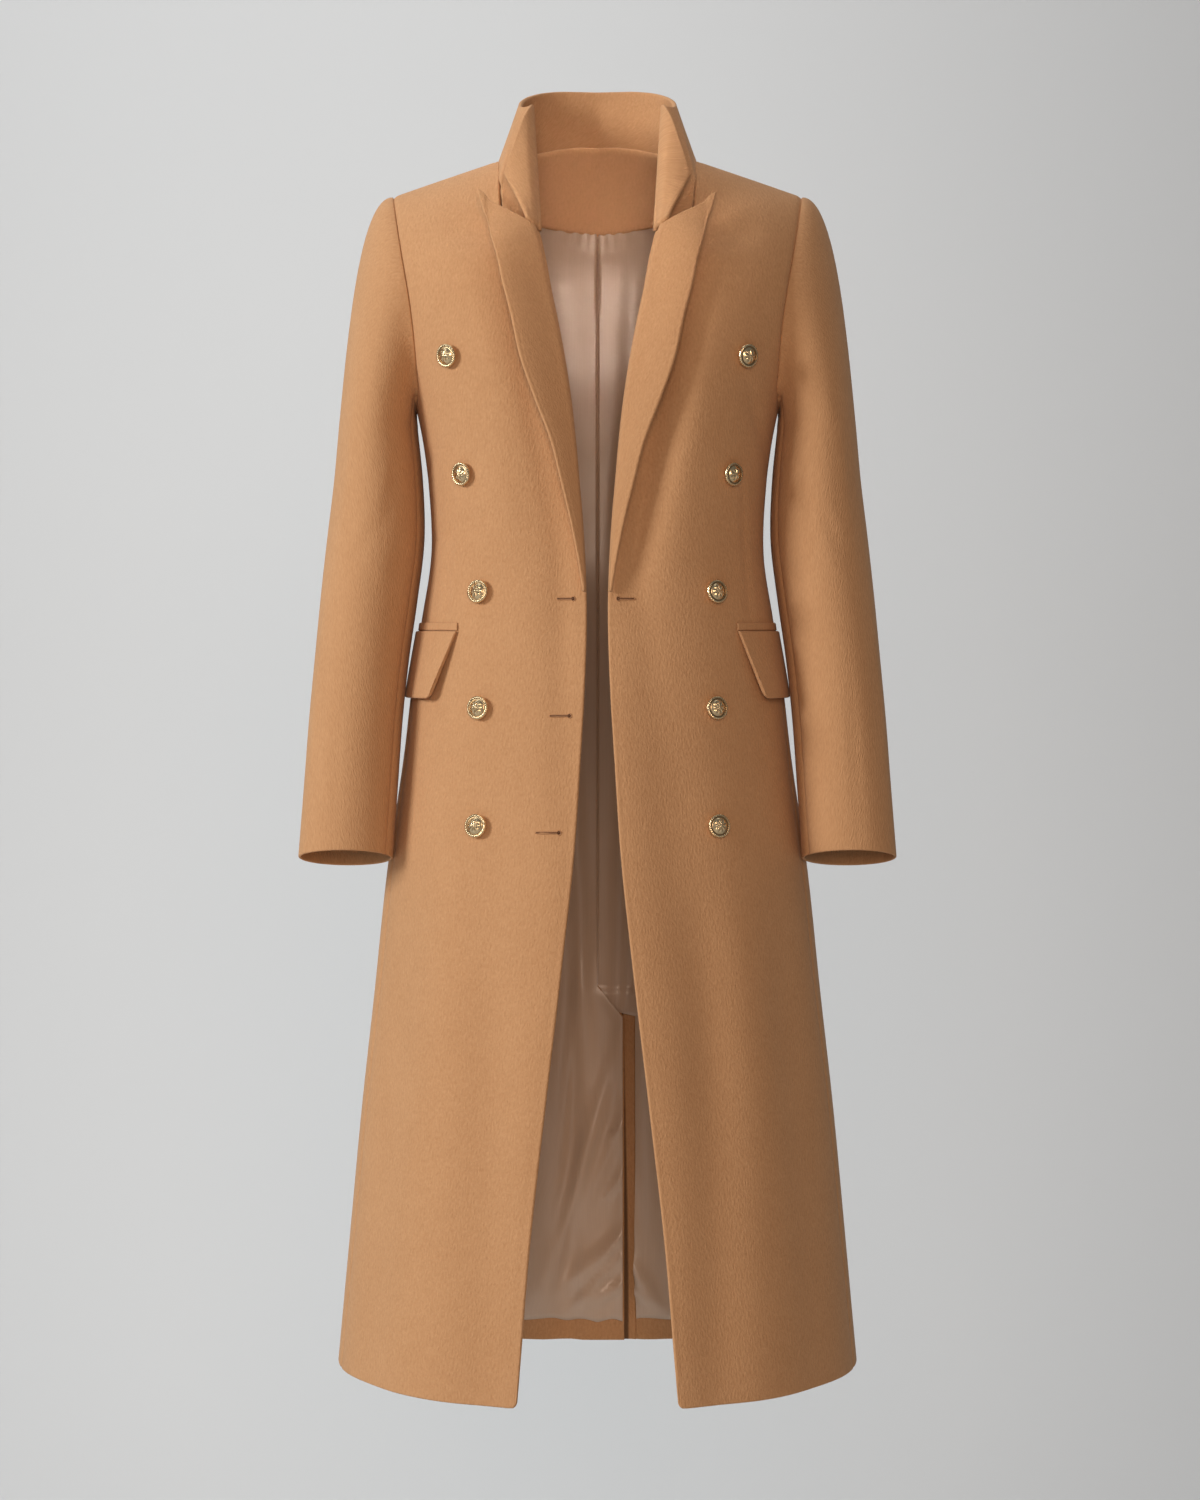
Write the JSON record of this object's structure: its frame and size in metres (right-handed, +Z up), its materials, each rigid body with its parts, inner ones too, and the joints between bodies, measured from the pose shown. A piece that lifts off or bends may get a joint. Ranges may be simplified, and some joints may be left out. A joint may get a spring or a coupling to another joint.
{
  "type": "longline blazer coat",
  "caption": "Longline wool coat worn open, with stood-up collar, peak lapels, hip pocket flaps, domed buttons down both fronts, set-in sleeves and a back vent, filled out as worn.",
  "frame": {"origin": "base of the neck, midway between the two points where the shoulder seams meet the collar", "axes": "+Z up, -Y the way the coat faces, +X the wearer's left"},
  "size_m": [0.554, 0.2981, 1.2169],
  "materials": {
    "camel_wool": "matt, softly napped twill",
    "taupe_satin": "satin",
    "gold_metal": "polished"
  },
  "bodies": {
    "root": {"collar": "camel_wool", "back_neck_facing": "camel_wool", "vent_facing": "camel_wool", "left_front": "camel_wool", "left_back": "camel_wool", "left_back_lining": "taupe_satin", "left_top_sleeve": "camel_wool", "left_under_sleeve": "camel_wool", "left_lapel": "camel_wool", "left_flap": "camel_wool", "left_welt": "camel_wool", "left_button_1": "gold_metal", "left_button_2": "gold_metal", "left_button_3": "gold_metal", "left_button_4": "gold_metal", "left_button_5": "gold_metal", "right_front": "camel_wool", "right_back": "camel_wool", "right_back_lining": "taupe_satin", "right_top_sleeve": "camel_wool", "right_under_sleeve": "camel_wool", "right_lapel": "camel_wool", "right_flap": "camel_wool", "right_welt": "camel_wool", "right_button_1": "gold_metal", "right_button_2": "gold_metal", "right_button_3": "gold_metal", "right_button_4": "gold_metal", "right_button_5": "gold_metal"}
  },
  "joints": []
}
